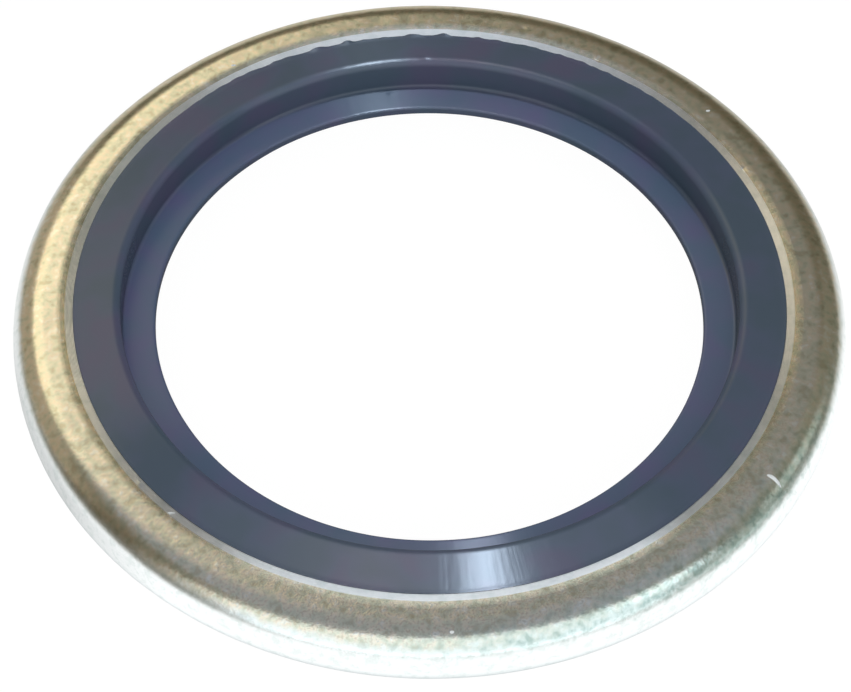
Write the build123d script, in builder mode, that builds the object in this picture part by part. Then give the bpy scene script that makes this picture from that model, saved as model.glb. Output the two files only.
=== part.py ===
"""Self-centring bonded sealing washer: a flat steel ring with a rubber seal bonded into its bore.

Millimetres. The origin is the centre of the bore on the mid-plane, and +Z is the washer's axis.
Both pieces are revolved from sections that are the same above and below the mid-plane.
"""
from build123d import *
import os

os.makedirs("parts", exist_ok=True)

# Steel ring
ring_diameter = 28.58        # over the rounded rim
ring_width = 2.16            # from the rim in to the wall that the rubber is bonded to
ring_thickness = 2.49        # across the two clamping faces
rim_land = 0.19              # straight band left on the rim between its two rolled corners
bevel_width = 0.37           # burnished bevel at each end of the bore, along the clamping face
bevel_depth = 0.08           # the same bevel, down the bore

# Rubber seal
lip_width = 1.57             # from the bonded wall in to the inner wall of the lips
lip_proud = 0.16             # each lip's crest above the clamping face, squeezed flat in use
lip_nose_radius = 0.25       # round of the crest
web_width = 1.12             # thin centring web, from the lips in to its bore
web_thickness = 0.34
web_edge_chamfer = 0.07      # on both edges of the web's bore
web_root_flare = 0.12        # where the web thickens to meet a lip

# Bores, each one ring of material inside the last
ring_bore_diameter = ring_diameter - 2 * ring_width
lip_bore_diameter = ring_bore_diameter - 2 * lip_width      # clears the thread's crests
web_bore_diameter = lip_bore_diameter - 2 * web_width       # grips the thread's root

rim = ring_diameter / 2
bond_wall = ring_bore_diameter / 2
lip_wall = lip_bore_diameter / 2
web_wall = web_bore_diameter / 2
half_ring = ring_thickness / 2
half_web = web_thickness / 2
rim_radius = half_ring - rim_land / 2
bond_height = half_ring - bevel_depth       # the rubber ends where the bevel starts
nose_height = half_ring + lip_proud - lip_nose_radius

# The ring is a flat washer: rolled corners at the rim, a shallow bevel at each end of the bore.
with BuildPart() as metal_ring:
    with BuildSketch(Plane.XZ) as ring_section:
        with Locations(((bond_wall + rim) / 2, 0)):
            Rectangle(ring_width, ring_thickness)
        fillet(ring_section.vertices().group_by(Axis.X)[-1], rim_radius)
        bore_edge = ring_section.edges().sort_by(Axis.X)[0]
        chamfer(bore_edge.vertices(), bevel_depth, bevel_width, reference=bore_edge)
    revolve(axis=Axis.Z)

# The seal fills the bore. From the bevel a shallow cone climbs to the nose of each lip, the lip's
# inner wall drops straight down, and the web runs inwards from it on the mid-plane.
with BuildPart() as rubber_seal:
    with BuildSketch(Plane.XZ) as seal_section:
        with BuildLine():
            nose_centre = (lip_wall + lip_nose_radius, nose_height)
            nose_circle = CenterArc(nose_centre, lip_nose_radius, 0, 180, mode=Mode.PRIVATE)
            cone = ConstrainedLines(
                nose_circle,
                (bond_wall, bond_height),
                selector=lambda tangents: tangents.sort_by(Axis.Y)[-1],
            )
            nose = TangentArc((lip_wall, nose_height), cone @ 0, tangent=(0, 1))
            Polyline(
                nose @ 0,
                (lip_wall, half_web + web_root_flare),
                (lip_wall - web_root_flare, half_web),
                (web_wall, half_web),
                (web_wall, 0),
            )
            Line(cone @ 1, (bond_wall, 0))
            mirror(about=Plane.XZ)
        make_face()
        chamfer(seal_section.vertices().group_by(Axis.X)[0], web_edge_chamfer)
    revolve(axis=Axis.Z)

metal_ring.part.label = "metal_ring"
export_step(metal_ring.part, "parts/metal_ring.step")

rubber_seal.part.label = "rubber_seal"
export_step(rubber_seal.part, "parts/rubber_seal.step")
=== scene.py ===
"""Self-centring bonded sealing washer: the finish of its plated ring and of its moulded rubber seal.

Metres, in the washer's own frame: the origin is the centre of the bore, +Z is the washer's axis.
Both pieces are profiles carried round the axis, with the small marks that moulding and barrel
plating leave worked into the surface.
"""
import bpy
import numpy as np
from mathutils import Matrix, Vector


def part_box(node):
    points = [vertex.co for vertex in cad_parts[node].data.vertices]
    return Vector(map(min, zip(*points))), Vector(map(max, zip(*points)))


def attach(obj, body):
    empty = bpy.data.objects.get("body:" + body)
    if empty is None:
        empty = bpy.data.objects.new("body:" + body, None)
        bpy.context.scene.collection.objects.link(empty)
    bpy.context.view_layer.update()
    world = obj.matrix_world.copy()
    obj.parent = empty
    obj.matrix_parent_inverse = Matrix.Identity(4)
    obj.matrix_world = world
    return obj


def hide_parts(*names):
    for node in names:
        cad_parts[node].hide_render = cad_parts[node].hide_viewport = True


MM = 0.001

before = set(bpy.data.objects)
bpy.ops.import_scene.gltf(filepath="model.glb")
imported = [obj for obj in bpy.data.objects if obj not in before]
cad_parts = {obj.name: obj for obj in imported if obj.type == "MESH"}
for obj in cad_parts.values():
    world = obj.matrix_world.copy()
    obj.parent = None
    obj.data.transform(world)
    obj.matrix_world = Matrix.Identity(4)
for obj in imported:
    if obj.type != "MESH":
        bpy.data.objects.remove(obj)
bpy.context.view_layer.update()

# Sizes read from the frame, in millimetres
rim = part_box("metal_ring")[1].x / MM
half_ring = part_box("metal_ring")[1].z / MM
bond_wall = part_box("rubber_seal")[1].x / MM
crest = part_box("rubber_seal")[1].z / MM

# Sizes of the sections, in millimetres
rim_radius = 1.15
bevel_width = 0.37
bevel_depth = 0.08
roll_radius = 1.7            # the bevel runs into the face in a soft roll
corner_radius = 0.02         # where each section leaves the bonded wall
lip_width = 1.57
lip_nose_radius = 0.25
web_width = 1.12
web_thickness = 0.34
web_edge_radius = 0.09
web_root_radius = 0.12

# Rings that the mould pressed into the bevel, drawn coarser than real ones so that they show.
# Distances are in millimetres from the bonded wall.
ring_count = 15
rings_from, rings_to = 0.01, 0.63
rings_fade = 0.28, 0.62      # between these the rings thin out, from the first to the second of a pair
ring_share = 0.98, 0.12      # of the pitch that a groove takes up
ring_fall = 44               # degrees, of the flank that faces away from the axis
ring_climb = 35, 31          # degrees, of the flank that faces it
burnished_to = 0.32          # where the burnished band ends and the plain plate starts
flat_to = 0.64               # where faces start to be shaded smooth
upright_to = 0.66            # where the relief starts to follow the surface's normal

# How finely the turned pieces are divided
fine_step, coarse_step = 0.06, 0.15    # millimetres between points, above and below the mid-plane
least_turn, most_turn = 4, 15          # degrees between the points of an arc
wall_end = 0.10                        # millimetres at each end of the bonded wall that are divided
most_quads = 98_000                    # of one piece, which keeps it under 200,000 triangles

lip_wall = bond_wall - lip_width
web_wall = lip_wall - web_width
half_web = web_thickness / 2
bond_height = half_ring - bevel_depth

# Camera, as a pinhole with its distance and aim worked out from the washer's rim
image_width = 851
focal_pixels = 2660.8
camera_elevation = 51.72     # degrees above the washer's plane
camera_distance = 91.88      # millimetres from the origin
camera_roll = -0.515         # degrees
aim_yaw = 0.0835             # degrees that the optical axis passes beside the origin
aim_pitch = 0.7067           # degrees that it passes below it
sensor_width = 36.0


# --- small helpers ---------------------------------------------------------------------------

def srgb(code):
    """A colour written as sRGB hex, turned linear: each channel by the standard sRGB curve."""
    channels = np.array([int(code[i:i + 2], 16) for i in (1, 3, 5)]) / 255
    linear = np.where(channels <= 0.04045, channels / 12.92, ((channels + 0.055) / 1.055) ** 2.4)
    return (*linear, 1.0)


def add(tree, kind, inputs=None, **settings):
    """Adds one node; settings are its properties, inputs its sockets' values or the sockets linked in."""
    made = tree.nodes.new("ShaderNode" + kind)
    for name, value in settings.items():
        setattr(made, name, value)
    for key, value in (inputs or {}).items():
        if isinstance(value, bpy.types.Node):
            value = value.outputs[0]
        if isinstance(value, bpy.types.NodeSocket):
            tree.links.new(value, made.inputs[key])
        else:
            made.inputs[key].default_value = value
    return made


def ramp(tree, factor, stops, interpolation="LINEAR"):
    """A colour ramp node on a factor, its stops given as position and sRGB hex."""
    made = add(tree, "ValToRGB", {0: factor})
    band = made.color_ramp
    band.interpolation = interpolation
    for place, code in stops[2:]:
        band.elements.new(place)
    for stop, (place, code) in zip(band.elements, stops):
        stop.position, stop.color = place, srgb(code)
    return made


def placed(name, data):
    """A new object in the scene, at the origin."""
    made = bpy.data.objects.new(name, data)
    bpy.context.scene.collection.objects.link(made)
    return made


def new_material(name):
    """An empty node material."""
    material = bpy.data.materials.new(name)
    material.use_nodes = True
    material.node_tree.nodes.clear()
    return material, material.node_tree


# --- camera ----------------------------------------------------------------------------------

def place_camera():
    """Stands the camera on the -Y side, above the washer, and turns it by yaw, pitch and roll."""
    elevation, yaw, pitch, roll = np.radians([camera_elevation, aim_yaw, aim_pitch, camera_roll])
    back = np.array([0, -np.cos(elevation), np.sin(elevation)])
    axes = np.array([[1, 0, 0], [0, np.sin(elevation), np.cos(elevation)], -back])
    turn_yaw = np.array([[np.cos(yaw), 0, np.sin(yaw)], [0, 1, 0], [-np.sin(yaw), 0, np.cos(yaw)]])
    turn_pitch = np.array([[1, 0, 0], [0, np.cos(pitch), np.sin(pitch)],
                           [0, -np.sin(pitch), np.cos(pitch)]])
    turn_roll = np.array([[np.cos(roll), -np.sin(roll), 0], [np.sin(roll), np.cos(roll), 0], [0, 0, 1]])
    right, up, forward = turn_roll @ turn_pitch @ turn_yaw @ axes
    data = bpy.data.cameras.new("camera")
    data.sensor_width = sensor_width
    data.lens = focal_pixels / image_width * sensor_width
    data.clip_start, data.clip_end = 0.005, 20
    camera = placed("camera", data)
    turned_axes = Matrix([right, up, -forward]).transposed()
    camera.matrix_world = Matrix.Translation(Vector(back * camera_distance * MM)) @ turned_axes.to_4x4()
    bpy.context.scene.camera = camera


place_camera()


# --- sections and turned surfaces --------------------------------------------------------------

def rounded(corners, radii, step):
    """A path of straight runs with each inner corner turned into an arc: the arc's centre lies on the
    corner's bisector at radius / cos(half the turn). Straight runs and arcs are divided to the step,
    and an arc also by its turn."""
    corners = np.array(corners, float)
    path = [corners[:1]]
    least, most = np.radians([least_turn, most_turn])
    for before, corner, after, radius in zip(corners, corners[1:], corners[2:], radii):
        ahead = (corner - before) / np.linalg.norm(corner - before)
        away = (after - corner) / np.linalg.norm(after - corner)
        turn = np.arctan2(ahead[0] * away[1] - ahead[1] * away[0], ahead @ away)
        begin = corner - ahead * radius * np.tan(abs(turn) / 2)
        centre = begin + np.sign(turn) * radius * np.array([-ahead[1], ahead[0]])
        start = np.arctan2(*(begin - centre)[::-1])
        count = int(np.ceil(abs(turn) / min(most, max(step / radius, least))))
        angles = start + turn * np.linspace(0, 1, count + 1)
        path += [straight(path[-1][-1], begin, step),
                 centre + radius * np.stack([np.cos(angles[1:]), np.sin(angles[1:])], 1)]
    path.append(straight(path[-1][-1], corners[-1], step))
    return np.concatenate(path)


def straight(a, b, step):
    """The points after a on the line to b, at most a step apart."""
    count = max(1, int(np.ceil(np.linalg.norm(b - a) / step)))
    return a + (b - a) * np.linspace(0, 1, count + 1)[1:, None]


def closed(corners, radii):
    """A closed section: the half above the mid-plane finely divided, the same half below it coarsely.
    The bonded wall, which neither shows nor bears a mark, is left whole between its ends."""
    upper = rounded(corners, radii, fine_step)
    lower = rounded(corners, radii, coarse_step) * [1, -1]
    section = np.concatenate([upper[:-1], lower[:0:-1]])
    on_wall = abs(section[:, 0] - bond_wall) < 1e-6
    return section[~on_wall | (abs(section[:, 1]) >= bond_height - wall_end)]


def turned(name, section, relief, burnished=False):
    """Carries a closed section (radius, height) once round the Z axis: the point at angle a and
    section index j is (r cos a, r sin a, z), with relief(a, section) added to r and z. Where the
    piece is burnished, the faces of its pressed rings are shaded flat, and those of the burnished
    band take the second material."""
    segments = most_quads // len(section)
    angle = np.linspace(0, 2 * np.pi, segments, endpoint=False)[:, None]
    dr, dz = relief(angle, section)
    r, z = section[:, 0] + dr, section[:, 1] + dz
    points = np.stack([r * np.cos(angle), r * np.sin(angle), z], -1).reshape(-1, 3) * MM
    i = np.arange(segments)[:, None]
    j = np.arange(len(section))[None, :]
    here, there = i * len(section), (i + 1) % segments * len(section)
    k = (j + 1) % len(section)
    quads = np.stack([here + j, here + k, there + k, there + j], -1).reshape(-1, 4)
    mesh = bpy.data.meshes.new(name)
    mesh.vertices.add(len(points))
    mesh.vertices.foreach_set("co", points.astype(np.float32).ravel())
    mesh.loops.add(quads.size)
    mesh.loops.foreach_set("vertex_index", quads.astype(np.int32).ravel())
    mesh.polygons.add(len(quads))
    mesh.polygons.foreach_set("loop_start", np.arange(0, quads.size, 4, dtype=np.int32))
    smooth = np.ones(len(quads), bool)
    if burnished:
        middle = (section + np.roll(section, -1, axis=0)) / 2
        off_wall = abs(middle[:, 1]) > bond_height - wall_end
        inside = np.tile((middle[:, 0] < bond_wall + burnished_to) & off_wall, segments)
        mesh.polygons.foreach_set("material_index", inside.astype(np.int32))
        smooth = ~np.tile((middle[:, 0] < bond_wall + flat_to) & off_wall, segments)
    mesh.polygons.foreach_set("use_smooth", smooth)
    mesh.update(calc_edges=True)
    return placed(name, mesh)


ring_section = closed(
    [(bond_wall, 0), (bond_wall, bond_height), (bond_wall + bevel_width, half_ring),
     (rim, half_ring), (rim, 0)],
    [corner_radius, roll_radius, rim_radius])


def with_rings(section):
    """The section with the pressed rings, as V grooves below the bevel's own line: each falls outwards
    at one slope and climbs at the other, its valley w = (climb * groove - rise) / (fall + climb)
    beyond its start. Towards the outside the grooves narrow and leave plain lands between them."""
    below = section[:, 1] < bond_height - corner_radius / 2
    upper = section[~below & (section[:, 0] < rim - rim_radius)]
    inner, outer = bond_wall + rings_from, bond_wall + rings_to
    line_kept = 0.001        # millimetres of the bevel's own line, before and after the rings
    pitch = (outer - inner) / ring_count
    starts = inner + pitch * np.arange(ring_count)
    grooves = pitch * np.interp(starts - bond_wall, rings_fade, ring_share)
    fall = np.tan(np.radians(ring_fall))
    climb = np.tan(np.radians(np.interp(starts - bond_wall, rings_fade, ring_climb)))
    tops = np.interp(starts, *upper.T)
    rise = np.interp(starts + grooves, *upper.T) - tops
    width = (climb * grooves - rise) / (fall + climb)
    rings = np.stack([starts, tops, starts + width, tops - fall * width, starts + grooves, tops + rise], 1)
    ends = np.array([inner - line_kept, outer + line_kept])
    before, after = np.stack([ends, np.interp(ends, *upper.T)], 1)
    kept = below | (section[:, 0] < ends[0]) | (section[:, 0] > ends[1])
    at = np.flatnonzero(section[:, 0] > outer)[0]
    return np.concatenate([section[:at][kept[:at]], [before], rings.reshape(-1, 2), [after],
                           section[at:][kept[at:]]])


ring_section = with_rings(ring_section)

nose = np.array([lip_wall + lip_nose_radius, crest - lip_nose_radius])
to_nose = nose - [bond_wall, bond_height]
cone_slope = np.arctan2(to_nose[1], -to_nose[0]) + np.arcsin(lip_nose_radius / np.hypot(*to_nose))
nose_corner = bond_height + (bond_wall - lip_wall) * np.tan(cone_slope)
seal_section = closed(
    [(web_wall, 0), (web_wall, half_web), (lip_wall, half_web), (lip_wall, nose_corner),
     (bond_wall, bond_height), (bond_wall, 0)],
    [web_edge_radius, web_root_radius, lip_nose_radius, corner_radius])


# Marks of this one washer, each as (azimuth in degrees, radius, half length, half width, heading in
# degrees from the outward direction, height); lengths in millimetres, heights above the surface,
# dents negative
ring_marks = np.array([
    (27.1, 12.47, 0.09, 0.06, 80, -0.025),       # nicks and bruises from the plating barrel
    (61.0, 12.45, 0.10, 0.05, 85, -0.025),
    (221.0, 12.36, 0.10, 0.06, 70, 0.022),
    (336.8, 12.85, 0.06, 0.06, 0, -0.018),
    (247.0, 13.30, 0.16, 0.08, 80, 0.007),
    (253.0, 13.45, 0.14, 0.09, 84, 0.008),
    (75.0, 12.95, 0.10, 0.07, 30, -0.012)])
seal_marks = np.array([
    (91.4, 10.80, 0.14, 0.09, 70, 0.008),        # nibs left by the mould on the lip and the web
    (98.4, 10.25, 0.09, 0.09, 0, 0.008),
    (120.1, 10.64, 0.10, 0.07, 0, 0.014),
    (262.0, 10.83, 0.10, 0.05, 85, 0.012),
    (305.0, 10.86, 0.12, 0.05, 88, 0.010)])

# Flaps raised by scratches: the same columns, then how far the flap curls sideways over its length
flaps = np.array([
    (326.0, 13.55, 0.26, 0.070, 24, 0.052, -0.22),
    (40.2, 13.06, 0.08, 0.040, -40, 0.025, 0.02),
    (124.7, 12.74, 0.09, 0.040, -125, 0.025, 0.02),
    (228.2, 12.36, 0.12, 0.040, 132, 0.025, 0.02),
    (273.3, 13.56, 0.07, 0.045, 87, 0.025, 0.01)])


# Unevenness of the surfaces and the film of rubber that crept up the bevel, in millimetres
plating_swell = 0.0014
moulding_swell = 0.0010
plain_edge = 0.15            # beside the bonded wall, where the rubber has neither swell nor marks
film_width = 0.032           # all round
far_film = 0.030             # added on the +Y side, on average
far_ragged = 0.045           # how much that varies
far_most = 0.14
far_spread = 0.18            # how fast it falls off with the angle's sine
film_taper = 0.07            # from the bonded wall inwards, over which the film thins out
film_thickness = 0.008


def marks(angle, section, table):
    """The height of all marks: each a bump exp(-(u/length)^2 - (v/width)^2) in its own turned axes,
    on the upper side only."""
    azimuth, radius, length, width, heading, height = table.T[:, :, None, None]
    outward = section[:, 0] * np.cos(angle - np.radians(azimuth)) - radius
    across = section[:, 0] * np.sin(angle - np.radians(azimuth))
    c, s = np.cos(np.radians(heading)), np.sin(np.radians(heading))
    u, v = outward * c + across * s, across * c - outward * s
    bumps = height * np.exp(-(u / length) ** 2 - (v / width) ** 2)
    return bumps.sum(0) * (section[:, 1] > 0)


def waves(angle, section, seed, count, shortest, longest):
    """A smooth random field over the turned surface: plane waves of random heading, phase and length
    (in millimetres) summed and scaled to a spread of about one."""
    draw = np.random.default_rng(seed)
    way = draw.normal(size=(count, 3))
    way *= (2 * np.pi / draw.uniform(shortest, longest, count) / np.linalg.norm(way, axis=1))[:, None]
    phase = draw.uniform(0, 2 * np.pi, count)
    x, y = section[:, 0] * np.cos(angle), section[:, 0] * np.sin(angle)
    total = np.zeros(x.shape)
    for (kx, ky, kz), shift in zip(way, phase):
        total += np.cos(kx * x + ky * y + kz * section[:, 1] + shift)
    return total * np.sqrt(2 / count)


def outward_normal(section):
    """The section's unit normals, out of the material, for one that runs with it on the right."""
    along = np.roll(section, -1, axis=0) - np.roll(section, 1, axis=0)
    along /= np.linalg.norm(along, axis=1)[:, None]
    return np.stack([-along[:, 1], along[:, 0]], 1)


def ring_relief(angle, section):
    """Barrel plating leaves the ring softly uneven, and handling leaves nicks and scratches. Over the
    pressed rings both act along the axis, so that no narrow groove folds over."""
    swell = plating_swell * waves(angle, section, seed=3, count=40, shortest=0.6, longest=2.0)
    height = (swell + marks(angle, section, ring_marks)) * (section[:, 0] > bond_wall + rings_from)
    off_wall = abs(section[:, 1]) > bond_height - corner_radius
    pressed = (section[:, 0] < bond_wall + upright_to) & off_wall
    normal = np.where(pressed[:, None], np.sign(section) * [0, 1], outward_normal(section))
    return height * normal[:, 0], height * normal[:, 1]


def seal_relief(angle, section):
    """The bonded edge: rubber has crept up the ring's bevel as a thin ragged film. Its width grows on
    the +Y side by a ragged amount, times exp((sin(angle) - 1) / far_spread). The lips and web carry a
    few nibs and a faint unevenness."""
    swell = moulding_swell * waves(angle, section, seed=5, count=24, shortest=1.5, longest=5.0)
    height = (swell + marks(angle, section, seal_marks)) * (section[:, 0] < bond_wall - plain_edge)
    edge_point = np.array([[bond_wall, 0.0]])
    ragged = waves(angle, edge_point, seed=11, count=48, shortest=0.30, longest=1.2)
    added = np.clip(far_film + far_ragged * ragged, 0, far_most)
    creep = film_width + added * np.exp((np.sin(angle) - 1) / far_spread)
    off_wall = abs(section[:, 1]) > bond_height - 0.6 * corner_radius
    edge = np.exp(-((bond_wall - section[:, 0]) / film_taper) ** 2) * off_wall
    film = creep * edge
    rise = (film * bevel_depth / bevel_width + film_thickness * edge) * np.sign(section[:, 1])
    normal = outward_normal(section)
    return height * normal[:, 0] + film, height * normal[:, 1] + rise


def raised(name, table):
    """Flaps of metal torn up from the ring's face. At u from -1 to 1 along a flap its section is a wave
    about to break, scaled by sqrt(1 - u^2), and it lies at length * u along its heading and
    curl * (1 + u)^2 / 4 across it. It stops short of its two tips, and each end is one flat face."""
    azimuth, radius, length, width, heading, height, curl = table.T[:, :, None, None]
    rows, tip = 17, 0.1
    u = -np.cos(np.linspace(tip, np.pi - tip, rows))[None, :, None]
    swell = np.sqrt(1 - u ** 2)
    wave = np.array([        # across and up, in half widths and heights
        (-1.0, 0.0), (-0.6, 0.10), (-0.25, 0.42), (0.1, 0.80), (0.4, 1.0),
        (0.7, 0.95), (0.95, 0.55), (1.0, -0.2), (0.0, -0.2), (-1.0, -0.2)])
    along = length * u
    across = width * swell * wave[:, 0] + curl * (1 + u) ** 2 / 4
    c, s = np.cos(np.radians(heading)), np.sin(np.radians(heading))
    r = radius + along * c - across * s
    angle = np.radians(azimuth) + (along * s + across * c) / radius
    upper = ring_section[ring_section[:, 1] > half_ring / 2]
    z = np.interp(r, *upper[upper[:, 0].argsort()].T) + height * swell * wave[:, 1]
    points = np.stack([r * np.cos(angle), r * np.sin(angle), z], -1).reshape(-1, 3) * MM
    around = len(wave)
    row, place = np.arange(rows - 1)[:, None] * around, np.arange(around)[None, :]
    ahead, after = row + around, (place + 1) % around
    quads = np.stack([row + place, ahead + place, ahead + after, row + after], -1).reshape(-1, 4)
    ends = [list(range(around)), list(range((rows - 1) * around, rows * around))[::-1]]
    one = quads.tolist() + ends
    faces = [[k + rows * around * n for k in face] for n in range(len(table)) for face in one]
    mesh = bpy.data.meshes.new(name)
    mesh.from_pydata(points.tolist(), [], faces)
    mesh.polygons.foreach_set("use_smooth", np.ones(len(faces), bool))
    return placed(name, mesh)


plated_ring = turned("plated_ring", ring_section, ring_relief, burnished=True)
moulded_seal = turned("moulded_seal", seal_section, seal_relief)
raised_flaps = raised("raised_flaps", flaps)


# --- studio ----------------------------------------------------------------------------------

lamp_distance = 0.6


def softbox(name, azimuth, elevation, width, height, radiance, colour, shape="RECTANGLE", only=None):
    """An area lamp facing the washer from a direction in degrees, with its size in metres and its
    brightness per area. It can be kept to one piece, as a lamp shaded from the rest."""
    a, e = np.radians([azimuth, elevation])
    towards = Vector((np.cos(e) * np.cos(a), np.cos(e) * np.sin(a), np.sin(e)))
    data = bpy.data.lights.new(name, "AREA")
    data.shape = shape
    data.size, data.size_y = width, height
    area = width * height * (np.pi / 4 if shape == "ELLIPSE" else 1)
    data.energy = radiance * np.pi * area
    data.color = srgb(colour)[:3]
    lamp = placed(name, data)
    lamp.location = towards * lamp_distance
    lamp.rotation_mode = "QUATERNION"
    lamp.rotation_quaternion = towards.to_track_quat("Z", "Y")
    if only:
        lit = bpy.data.collections.new(name + " lights")
        lit.objects.link(only)
        lamp.light_linking.receiver_collection = lit


# The room: a wide window on the near side, a warmly lit wall behind, paler and cooler ones beside
softbox("window", 277, 28, 1.36, 0.74, 1.0, "#F0F9FF")
softbox("window_blind", 272, 28, 1.60, 0.90, 0.12, "#F0F9FF")
softbox("window_side", 330, 38, 0.16, 0.20, 0.70, "#F0F9FF")
softbox("warm_wall", 121, 45, 0.42, 0.27, 1.22, "#FFF3D2", "ELLIPSE")
softbox("warm_ceiling", 126, 66, 0.22, 0.18, 0.11, "#FFD9A0", "ELLIPSE")
softbox("pale_wall", 152, 22, 0.66, 0.48, 0.27, "#FFF1DA", "ELLIPSE")
softbox("cool_wall", 20, 28, 0.60, 0.60, 0.09, "#E6F6F0", "ELLIPSE")
softbox("cool_corner", 8, 23, 0.17, 0.22, 0.52, "#EAF6F4")
softbox("window_reveal", 344, 12, 0.26, 0.34, 0.32, "#E6F3EF")
softbox("window_jamb", 215, 24, 0.18, 0.30, 0.28, "#FFF9EC")
# Small lamps high above the far side, for the streaks along the seal's cone and lips
softbox("streak_lamp", 68, 78, 0.028, 0.028, 480.0, "#D6EAFF", only=moulded_seal)
softbox("streak_side", 104, 78, 0.076, 0.05, 7.0, "#FFE6EA", only=moulded_seal)
softbox("streak_wide", 84, 78, 0.56, 0.09, 3.5, "#E2EBFF", "ELLIPSE", only=moulded_seal)
softbox("ceiling_glow", 140, 80, 0.14, 0.14, 2.2, "#FFF2EC", only=moulded_seal)


def studio_world():
    """A dim, brownish room that turns lighter and greyer overhead, by the height of the direction."""
    world = bpy.data.worlds.new("studio")
    world.use_nodes = True
    tree = world.node_tree
    tree.nodes.clear()
    direction = add(tree, "TexCoord")
    height = add(tree, "SeparateXYZ", {0: direction.outputs["Generated"]})
    bands = ramp(tree, height.outputs["Z"], [
        (0.00, "#615B4C"), (0.46, "#615B4C"), (0.64, "#6B6658"),
        (0.72, "#757063"), (0.81, "#8C8D8B"), (0.87, "#9BA1AC"), (1.00, "#979CA5")])
    sky = add(tree, "Background", {"Color": bands, "Strength": 1.0})
    add(tree, "OutputWorld", {"Surface": sky})
    bpy.context.scene.world = world


studio_world()


# The paper that the washer lies on: reach and rise of its sweep, in metres
sweep = np.array([(0.68, 0.0), (0.76, 0.006), (0.84, 0.024), (0.90, 0.058), (0.95, 0.115)])
sweep_sides = 72
floor_gap = 0.003            # millimetres left under the lower lip, so that the two are not coplanar


def white_paper():
    """Matt white paper. Seen straight it is white, with the washer's shadow kept. Mirrored in the washer
    it glows with painted light and shade of its own: painted light in front and where it rises towards the
    window, dimmer behind, painted shade below the rim and a painted shadow a little to the left. Distances
    are in metres."""
    material, tree = new_material("matt white paper")
    place = add(tree, "TexCoord").outputs["Object"]

    # Painted light on the sheet, by the distance from a point just in front of the washer
    away = add(tree, "VectorMath", {0: place, 1: (0, -0.014, 0)}, operation="DISTANCE")
    spread = add(tree, "MapRange", {0: away.outputs["Value"], 1: 0.018, 2: 0.088})
    lit = ramp(tree, spread, [
        (0.03, "#FFFFFF"), (0.06, "#F1F1F0"), (0.09, "#DCDCDA"), (0.14, "#C5C5C2"), (0.19, "#BBBAB6"),
        (0.24, "#B2B0AA"), (0.47, "#A19E95"), (0.90, "#8F8C82"), (1.00, "#625D50")])

    # Painted light: the side towards the window is brighter, and the far side is painted warm, as if lit
    # by the wall behind it
    ahead = add(tree, "VectorMath", {0: place, 1: (0.4, -0.92, 0)}, operation="DOT_PRODUCT")
    front = add(tree, "MapRange", {0: ahead.outputs["Value"], 1: 0.15, 2: 0.60, 4: 0.75})
    lit = add(tree, "Mix", {0: front, "A": lit, "B": srgb("#EAF2F0")}, data_type="RGBA")
    heading = add(tree, "VectorMath", {0: place}, operation="NORMALIZE")
    beyond = add(tree, "VectorMath", {0: heading, 1: (-0.34, 0.94, 0)}, operation="DOT_PRODUCT")
    glow = add(tree, "MapRange", {0: beyond.outputs["Value"], 1: 0.80, 2: 1.0, 4: 0.55})
    lit = add(tree, "Mix", {0: glow, "A": lit.outputs["Result"], "B": srgb("#D6CFBC")}, data_type="RGBA")

    # Painted shade under the rim, and a painted shadow beside it on the left
    reach = add(tree, "VectorMath", {0: place}, operation="LENGTH")
    below = add(tree, "MapRange", {0: reach.outputs["Value"], 1: 0.0132, 2: 0.0149})
    shade = ramp(tree, below, [(0.0, "#6E7274"), (0.35, "#B0B5B7"), (0.70, "#E8EBEC"), (1.0, "#FFFFFF")])
    dimmed = add(tree, "Mix", {0: 1.0, "A": lit.outputs["Result"], "B": shade},
                 data_type="RGBA", blend_type="MULTIPLY")
    aside = add(tree, "VectorMath", {0: place, 1: (-0.0140, -0.0050, 0)}, operation="DISTANCE")
    painted_shadow = add(tree, "MapRange", {0: aside.outputs["Value"], 1: 0.003, 2: 0.0085, 3: 0.61, 4: 1.0})
    painted_light_and_shade = add(tree, "VectorMath", {0: dimmed.outputs["Result"], "Scale": painted_shadow}, operation="SCALE")

    # Camera rays see mostly white, and the paper's small share keeps the washer's shadow. Mirror rays see
    # mostly the painted light and shade, given off as a glow.
    ray = add(tree, "LightPath")
    mirrored = add(tree, "Math", {0: ray.outputs["Is Glossy Ray"], 1: ray.outputs["Is Transmission Ray"]},
                   operation="MAXIMUM")
    paper = add(tree, "BsdfDiffuse", {"Color": srgb("#F6F6F5")})
    white = add(tree, "Emission", {"Color": srgb("#FFFFFF"), "Strength": 1.05})
    painted_glow = add(tree, "Emission", {"Color": painted_light_and_shade, "Strength": 1.17})
    white_share = add(tree, "Math", {0: ray.outputs["Is Camera Ray"], 1: 0.93}, operation="MULTIPLY")
    picture_share = add(tree, "Math", {0: mirrored, 1: 0.92}, operation="MULTIPLY")
    seen = add(tree, "MixShader", {0: white_share, 1: paper, 2: white})
    surface = add(tree, "MixShader", {0: picture_share, 1: seen, 2: painted_glow})
    add(tree, "OutputMaterial", {"Surface": surface})
    return material


def lay_floor():
    """A pale sheet under the washer's lower lip: one flat face out to 0.68 m, then rings that rise to
    about seven degrees above the horizon."""
    turn = np.linspace(0, 2 * np.pi, sweep_sides, endpoint=False)
    reach, rise = sweep.T
    level = rise[:, None] - (crest + floor_gap) * MM
    points = np.stack([np.outer(reach, np.cos(turn)), np.outer(reach, np.sin(turn)),
                       np.repeat(level, sweep_sides, axis=1)], -1)
    i, j = np.arange(len(sweep) - 1)[:, None] * sweep_sides, np.arange(sweep_sides)[None, :]
    outer, after = i + sweep_sides, (j + 1) % sweep_sides
    quads = np.stack([i + j, outer + j, outer + after, i + after], -1).reshape(-1, 4)
    mesh = bpy.data.meshes.new("floor")
    mesh.from_pydata(points.reshape(-1, 3).tolist(), [], [list(range(sweep_sides))] + quads.tolist())
    mesh.materials.append(white_paper())
    floor = placed("floor", mesh)


lay_floor()


# --- materials ---------------------------------------------------------------------------------

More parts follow.
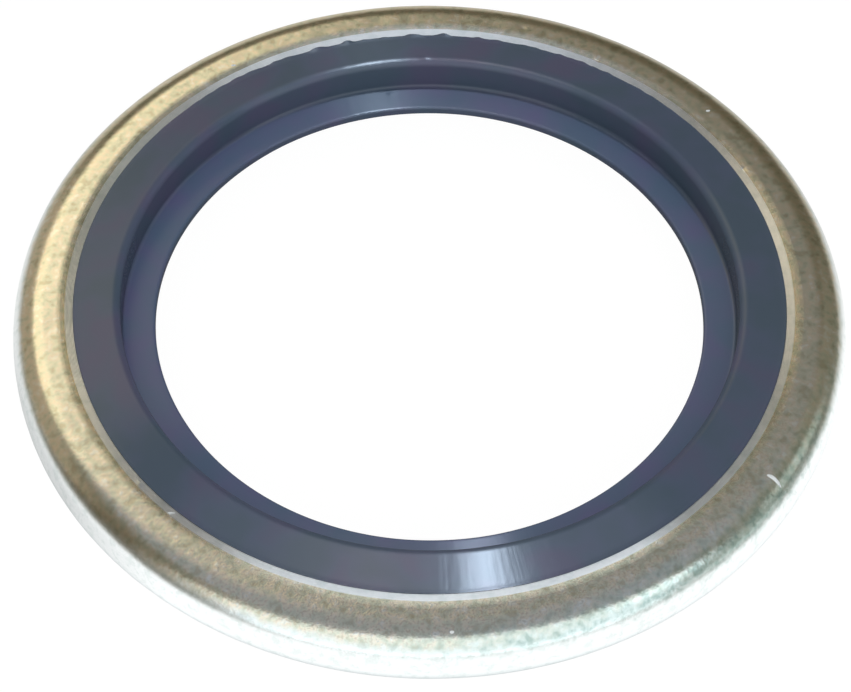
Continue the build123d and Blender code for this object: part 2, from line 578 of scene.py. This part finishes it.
def in_millimetres(tree):
    """Object coordinates in millimetres, so that a noise's scale is its grains per millimetre."""
    place = add(tree, "TexCoord")
    return add(tree, "VectorMath", {0: place.outputs["Object"], "Scale": 1000.0}, operation="SCALE")


def zinc_plate():
    """Zinc plate, barrel plated and passivated: a thin yellow film over a fine lumpy grain, each lump
    tinted straw, green, brown or peach, and worn to bare bluish zinc round the rim."""
    material, tree = new_material("zinc plate, barrel plated and passivated")
    place = in_millimetres(tree)
    axes = add(tree, "SeparateXYZ", {0: place})
    flat = add(tree, "CombineXYZ", {0: axes.outputs["X"], 1: axes.outputs["Y"]})

    # Such plate has a grain of about 0.05 mm and blots of about 0.1 mm in its film. Both are drawn
    # three times as coarse, so that they show.
    grain = add(tree, "TexNoise", {"Vector": place, "Scale": 6.0, "Detail": 3.0, "Roughness": 0.55})
    blots = add(tree, "TexNoise", {"Vector": place, "Scale": 3.0, "Detail": 3.0, "Roughness": 0.6})
    film = ramp(tree, blots.outputs["Fac"], [
        (0.34, "#D2CBB6"), (0.42, "#DCDDCB"), (0.50, "#E9E4D2"), (0.58, "#EEE2CF"), (0.66, "#F3F0E6")])

    # Film tinted a dull green on the near right, in patches of 0.4 mm: everything that lies beyond a
    # circle whose centre is off the axis
    uneven = add(tree, "TexNoise", {"Vector": place, "Scale": 2.5, "Detail": 3.0}).outputs["Fac"]
    aside = add(tree, "VectorMath", {0: flat, 1: (-1.23, 1.58, 0)}, operation="SUBTRACT")
    radius = add(tree, "VectorMath", {0: aside}, operation="LENGTH")
    shifted = add(tree, "Math", {0: uneven, 1: 0.8, 2: radius.outputs["Value"]}, operation="MULTIPLY_ADD")
    side = add(tree, "MapRange", {0: shifted, 1: 15.62, 2: 16.34})
    greenish_tint = ramp(tree, blots.outputs["Fac"], [(0.38, "#B2C6C1"), (0.50, "#CDDCD8"), (0.62, "#E0EBE8")])

    # Bare zinc on the outer wall, with a broken edge that lies further out where the film is tinted green
    reach = add(tree, "VectorMath", {0: flat}, operation="LENGTH")
    broken = add(tree, "Math", {0: uneven, 1: 0.3, 2: reach.outputs["Value"]}, operation="MULTIPLY_ADD")
    worn = add(tree, "Math", {0: side, 1: -0.15, 2: broken}, operation="MULTIPLY_ADD")
    edge = add(tree, "MapRange", {0: worn, 1: 14.03, 2: 14.21})
    bare = ramp(tree, blots.outputs["Fac"], [(0.38, "#EAF1F0"), (0.50, "#F6FAFA")])

    # The grain is deepest at the front and shallower at the back and on the left. Its pits hold a
    # darker film and, real ones being finer, are drawn some 0.08 mm wide.
    front = add(tree, "MapRange", {0: axes.outputs["Y"], 1: -1.0, 2: -12.0, 3: 0.40, 4: 1.75})
    left = add(tree, "MapRange", {0: axes.outputs["X"], 1: -3.0, 2: -9.0, 3: 1.0, 4: 0.62})
    coarse = add(tree, "Math", {0: front, 1: left}, operation="MULTIPLY")
    specks = add(tree, "TexNoise", {"Vector": place, "Scale": 12.0, "Detail": 2.0})
    pits = add(tree, "MapRange", {0: specks.outputs["Fac"], 1: 0.50, 2: 0.62, 4: 0.15})
    pitted = add(tree, "Math", {0: pits, 1: coarse}, operation="MULTIPLY")

    tint = add(tree, "Mix", {0: pitted, "A": film, "B": srgb("#8C866C")}, data_type="RGBA")
    tint = add(tree, "Mix", {0: side, "A": tint.outputs["Result"], "B": greenish_tint}, data_type="RGBA")
    tint = add(tree, "Mix", {0: edge, "A": tint.outputs["Result"], "B": bare}, data_type="RGBA")
    lumps = add(tree, "MapRange", {0: edge, 3: 0.0050 * MM, 4: 0.0032 * MM})
    depth = add(tree, "Math", {0: coarse, 1: lumps}, operation="MULTIPLY")
    bump = add(tree, "Bump", {"Height": grain.outputs["Fac"], "Strength": 1.0, "Distance": depth})
    metal = add(tree, "BsdfPrincipled", {
        "Base Color": tint.outputs["Result"], "Metallic": 1.0, "Roughness": 0.24, "Normal": bump})
    add(tree, "OutputMaterial", {"Surface": metal})
    return material


def turned_zinc():
    """Zinc plate, turned and burnished: the same plate on the bevel, pressed in rings by the mould
    that closed on it. The film is rubbed off, so it is whiter, and the rings spread each light along
    the radius. Duller spots are some 0.3 mm wide, about as wide as the burnished band."""
    material, tree = new_material("zinc plate, turned and burnished")
    spots = add(tree, "TexNoise", {"Vector": in_millimetres(tree), "Scale": 3.0, "Detail": 3.0})
    tint = ramp(tree, spots.outputs["Fac"], [(0.35, "#F2F5F6"), (0.55, "#FDFEFF")])
    tangent = add(tree, "Tangent", direction_type="RADIAL", axis="Z")
    metal = add(tree, "BsdfPrincipled", {
        "Base Color": tint, "Metallic": 1.0, "Roughness": 0.28, "Anisotropic": 0.6,
        "Anisotropic Rotation": 0.25, "Tangent": tangent})
    add(tree, "OutputMaterial", {"Surface": metal})
    return material


def scraped_zinc_painted_glint():
    """Zinc scraped up through the film, coloured a white, matt mix of metal and oxide that mirrors nothing
    sharply, with duller patches of 0.1 mm. The white is partly a painted glint: it stands in for the
    window's reflection in the torn flaps and is bright from every side."""
    material, tree = new_material("zinc, scraped white")
    spots = add(tree, "TexNoise", {"Vector": in_millimetres(tree), "Scale": 9.0, "Detail": 2.0})
    tint = ramp(tree, spots.outputs["Fac"], [(0.35, "#E6EAEA"), (0.50, "#FBFCFC")])
    scraped = add(tree, "BsdfPrincipled", {"Base Color": tint, "Metallic": 0.0, "Roughness": 0.45})
    add(tree, "OutputMaterial", {"Surface": scraped})
    return material


def nitrile_rubber():
    """Nitrile rubber, compression moulded: slate, satin. The mould's turned rings spread each light along
    the radius, and a soft bloom, bluer on the thin web, shifts it between teal and violet. The web is also
    coloured lighter than the lips, a painted light that lifts it out of the shade between them."""
    material, tree = new_material("nitrile rubber, compression moulded")
    place = in_millimetres(tree)
    axes = add(tree, "SeparateXYZ", {0: place})
    flat = add(tree, "CombineXYZ", {0: axes.outputs["X"], 1: axes.outputs["Y"]})

    # Bloom in patches of some 2 mm, its colours for the lips and for the web, whose lighter colours are
    # partly painted light
    bloom = add(tree, "TexNoise", {"Vector": place, "Scale": 0.45, "Detail": 2.0})
    body = ramp(tree, bloom.outputs["Fac"], [(0.36, "#404B56"), (0.50, "#444C5B"), (0.64, "#4A495B")])
    web = ramp(tree, bloom.outputs["Fac"], [(0.36, "#4A586B"), (0.50, "#4F576D"), (0.64, "#54546F")])
    radius = add(tree, "VectorMath", {0: flat}, operation="LENGTH")
    outside = add(tree, "MapRange", {0: radius.outputs["Value"], 1: 10.45, 2: 10.75})
    tint = add(tree, "Mix", {0: outside, "A": web, "B": body}, data_type="RGBA")

    # Faint spokes wiped outwards, a noise of the direction alone, and softer blotches of 0.4 mm
    around = add(tree, "VectorMath", {0: flat}, operation="NORMALIZE")
    spokes = add(tree, "VectorMath", {0: around, "Scale": 45.0}, operation="SCALE")
    wiped = add(tree, "TexNoise", {"Vector": spokes, "Scale": 1.0, "Detail": 2.0})
    bump = add(tree, "Bump", {
        "Height": wiped.outputs["Fac"], "Strength": 1.0, "Distance": 0.0015 * MM})
    blotches = add(tree, "TexNoise", {"Vector": place, "Scale": 2.5, "Detail": 2.0})
    bump = add(tree, "Bump", {
        "Height": blotches.outputs["Fac"], "Strength": 1.0, "Distance": 0.0012 * MM, "Normal": bump})
    tangent = add(tree, "Tangent", direction_type="RADIAL", axis="Z")
    rubber = add(tree, "BsdfPrincipled", {
        "Base Color": tint.outputs["Result"], "Roughness": 0.25, "IOR": 1.5, "Anisotropic": 1.0,
        "Anisotropic Rotation": 0.25, "Tangent": tangent, "Normal": bump})
    add(tree, "OutputMaterial", {"Surface": rubber})
    return material


plated_ring.data.materials.append(zinc_plate())
plated_ring.data.materials.append(turned_zinc())
raised_flaps.data.materials.append(scraped_zinc_painted_glint())
moulded_seal.data.materials.append(nitrile_rubber())

for piece, node, slot in (
        (plated_ring, "metal_ring", "plated_steel"),
        (moulded_seal, "rubber_seal", "nitrile_rubber")):
    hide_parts(node)
    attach(piece, "root")
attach(raised_flaps, "root")

bpy.context.scene.view_settings.view_transform = "Standard"
